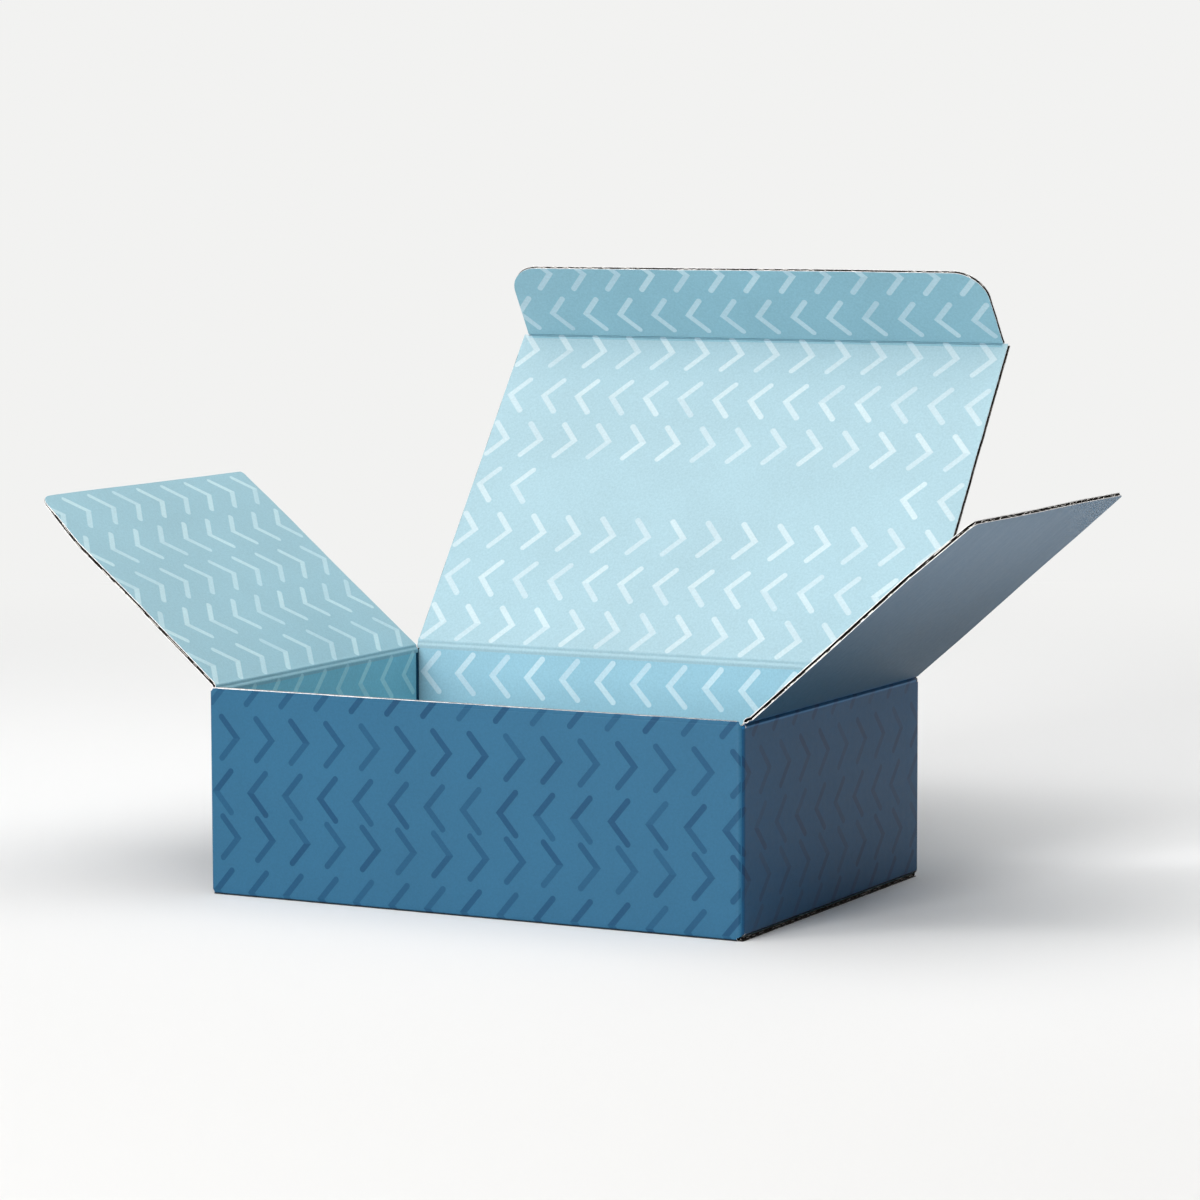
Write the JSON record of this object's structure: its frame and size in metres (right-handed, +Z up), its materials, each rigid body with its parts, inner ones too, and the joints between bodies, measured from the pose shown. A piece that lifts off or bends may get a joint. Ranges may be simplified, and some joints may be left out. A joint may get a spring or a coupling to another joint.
{
  "type": "tuck-top mailing carton",
  "caption": "Shallow tuck-top mailing carton of printed corrugated board, standing open, with a hinged lid, a bending tuck flap and two side flaps.",
  "frame": {"origin": "middle of the base's underside, where the carton stands on a table", "axes": "+X to the carton's right along its width, +Y from the front wall to the lid's hinge, +Z up"},
  "size_m": [0.4373, 0.2795, 0.2601],
  "materials": {
    "outer_print": "matt mid-blue printed board with darker chevrons",
    "inner_print": "matt pale-blue printed board with whiter chevrons",
    "board_core": "bare brown fluting paper and white facing paper at the cut edges"
  },
  "bodies": {
    "carton_body": {"carton_body": "outer_print"},
    "lid": {"lid": "inner_print"},
    "tuck_flap": {"tuck_flap": "inner_print"},
    "left_flap": {"left_flap": "inner_print"},
    "right_flap": {"right_flap": "inner_print"}
  },
  "joints": [
    {"name": "lid_hinge", "type": "hinge", "parent": "carton_body", "child": "lid", "pos_m": [0, 0.0871, 0.0896], "axis": [-1, 0, 0], "range_deg": [-127.2, 83.6]},
    {"name": "tuck_fold", "type": "hinge", "parent": "lid", "child": "tuck_flap", "pos_m": [0, 0.19115, 0.22668], "axis": [-1, 0, 0], "range_deg": [-35, 73]},
    {"name": "left_flap_hinge", "type": "hinge", "parent": "carton_body", "child": "left_flap", "pos_m": [-0.1241, 0, 0.0876], "axis": [0, -1, 0], "range_deg": [-140.6, 84.4]},
    {"name": "right_flap_hinge", "type": "hinge", "parent": "carton_body", "child": "right_flap", "pos_m": [0.1241, 0, 0.0876], "axis": [0, 1, 0], "range_deg": [-138.8, 84.9]}
  ],
  "couplings": [
    {"joint": "tuck_fold", "follows": "lid_hinge", "ratio": 0.2075}
  ]
}
